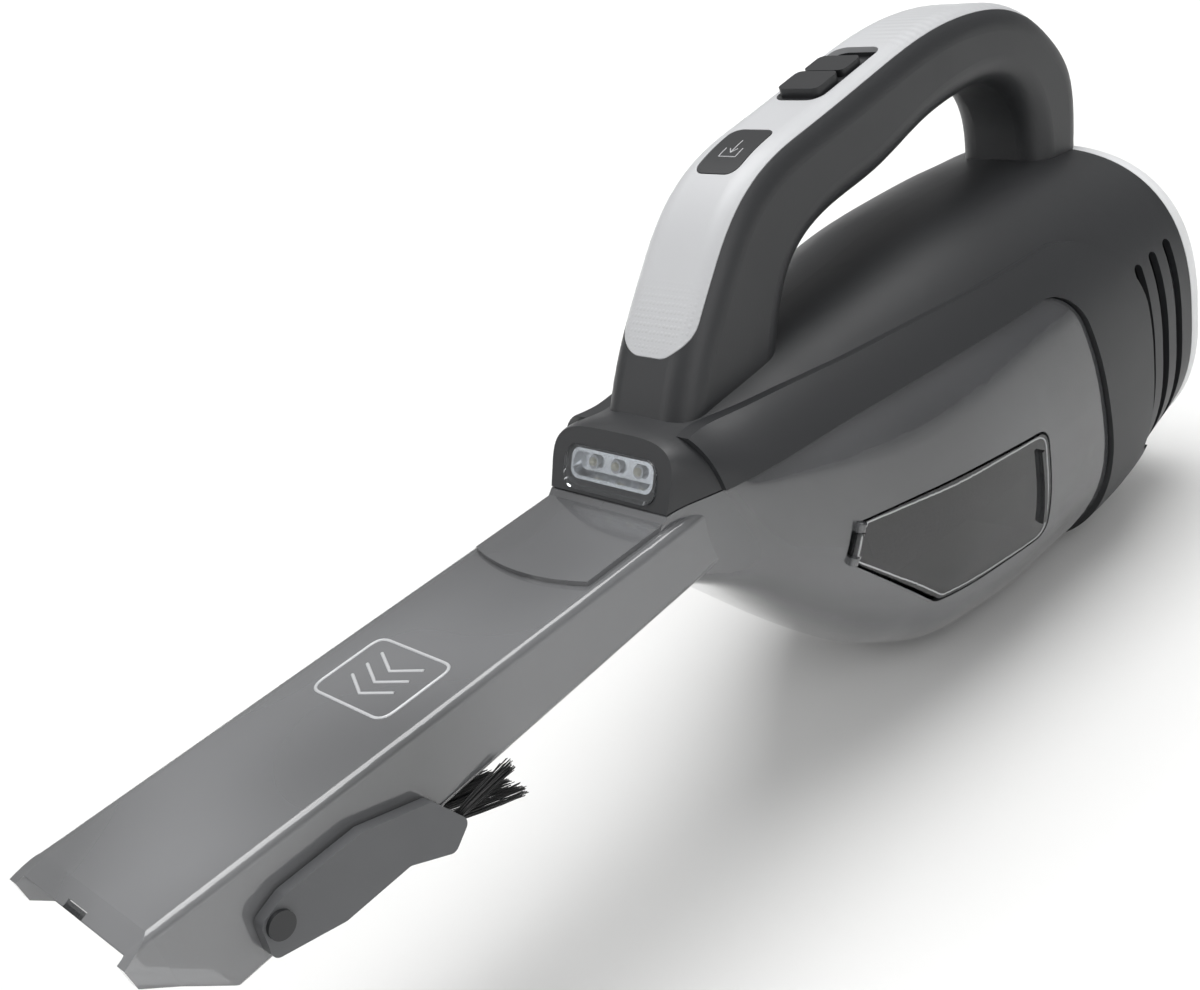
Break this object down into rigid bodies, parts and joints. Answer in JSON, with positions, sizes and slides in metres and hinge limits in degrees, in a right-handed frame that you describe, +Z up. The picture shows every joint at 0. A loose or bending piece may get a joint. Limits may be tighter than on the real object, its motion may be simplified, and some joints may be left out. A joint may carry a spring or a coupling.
{
  "type": "handheld vacuum",
  "caption": "Handheld cordless vacuum with looped handle, see-through dust bowl and nozzle, flip-over brush and slide-out crevice tool.",
  "frame": {"origin": "middle of the flat foot that the vacuum stands on", "axes": "+Y from the nozzle to the tail, +Z up, +X towards the side with the dust door"},
  "size_m": [0.1194, 0.4181, 0.189],
  "materials": {
    "charcoal_abs": "fine matte texture",
    "light_insert": "satin with a fine grip texture",
    "control_plastic": "satin",
    "smoked_clear": "smoked transparent, polished",
    "grey_plastic": "matte",
    "bristle_nylon": "satin filament",
    "lens_clear": "clear, polished",
    "bright_metal": "bright plated",
    "steel": "machined",
    "black_mesh": "woven mesh",
    "filter_paper": "pleated",
    "black_rubber": "matte",
    "board": "lacquered",
    "cell_sleeve": "heat-shrink sleeve",
    "nickel": "strip",
    "copper": "wound",
    "white_abs": "satin",
    "foam": "open cell foam"
  },
  "bodies": {
    "housing": {"housing_left": "charcoal_abs", "housing_right": "charcoal_abs", "handle_insert": "light_insert", "button_spring": "steel", "latch_pin": "steel", "lamp_lens": "lens_clear", "lamp_reflector": "bright_metal", "lamp_board": "board", "bowl_seal": "black_rubber", "fan_shroud": "grey_plastic", "motor_mount": "grey_plastic", "motor_screws": "steel", "motor_can": "steel", "motor_end": "grey_plastic", "motor_bearings": "nickel", "battery_cells": "cell_sleeve", "cell_links": "nickel", "battery_holder": "control_plastic", "control_board": "board", "power_switch": "control_plastic", "charge_jack": "control_plastic", "charge_lamp": "lens_clear", "wiring": "copper", "housing_screws": "steel", "rear_cap": "white_abs", "exhaust_filter": "foam"},
    "slider": {"power_slider": "control_plastic"},
    "button": {"release_button": "control_plastic"},
    "latch": {"latch_lever": "grey_plastic"},
    "bowl": {"dust_bowl": "smoked_clear", "door_pin": "steel"},
    "door": {"dust_door": "smoked_clear"},
    "tool": {"crevice_tool": "smoked_clear"},
    "brush": {"brush_frame": "grey_plastic", "brush_pins": "control_plastic", "brush_bristles": "bristle_nylon"},
    "filter": {"filter_frame": "grey_plastic", "pre_filter": "black_mesh"},
    "pleats": {"pleated_filter": "filter_paper"},
    "spinner": {"fan": "control_plastic", "motor_shaft": "steel", "motor_rotor": "copper"}
  },
  "joints": [
    {"name": "power_slide", "type": "slide", "parent": "housing", "child": "slider", "axis": [0, 0.9975, 0.0705], "range_m": [0, 0.007]},
    {"name": "release_press", "type": "slide", "parent": "housing", "child": "button", "axis": [0, 0, -1], "range_m": [0, 0.0025], "stiffness_N_per_m": 900, "springref_m": -0.001, "deforming": ["button_spring"]},
    {"name": "latch_tilt", "type": "hinge", "parent": "housing", "child": "latch", "pos_m": [0, -0.064, 0.147], "axis": [-1, 0, 0], "range_deg": [0, 8]},
    {"name": "bowl_pull", "type": "slide", "parent": "housing", "child": "bowl", "axis": [0, -1, 0], "range_m": [0, 0.18]},
    {"name": "filter_pull", "type": "slide", "parent": "bowl", "child": "filter", "axis": [0, 1, 0], "range_m": [0, 0.082]},
    {"name": "pleats_pull", "type": "slide", "parent": "filter", "child": "pleats", "axis": [0, 1, 0], "range_m": [0, 0.076]},
    {"name": "door_open", "type": "hinge", "parent": "bowl", "child": "door", "pos_m": [0.04139, -0.0835, 0.072], "axis": [-0.1855, -0.4094, -0.8933], "range_deg": [0, 95]},
    {"name": "tool_pull", "type": "slide", "parent": "bowl", "child": "tool", "axis": [0, -1, 0], "range_m": [0, 0.09]},
    {"name": "brush_flip", "type": "hinge", "parent": "bowl", "child": "brush", "pos_m": [0, -0.276, 0.103], "axis": [-1, 0, 0], "range_deg": [0, 130]},
    {"name": "fan_spin", "type": "hinge", "parent": "housing", "child": "spinner", "pos_m": [0, 0.035, 0.054], "axis": [0, 1, 0], "continuous": true}
  ],
  "couplings": [
    {"joint": "latch_tilt", "follows": "release_press", "rad_per_m": 52.36},
    {"joint": "filter_pull", "follows": "bowl_pull", "ratio": 0.45},
    {"joint": "pleats_pull", "follows": "bowl_pull", "ratio": 0.42}
  ]
}
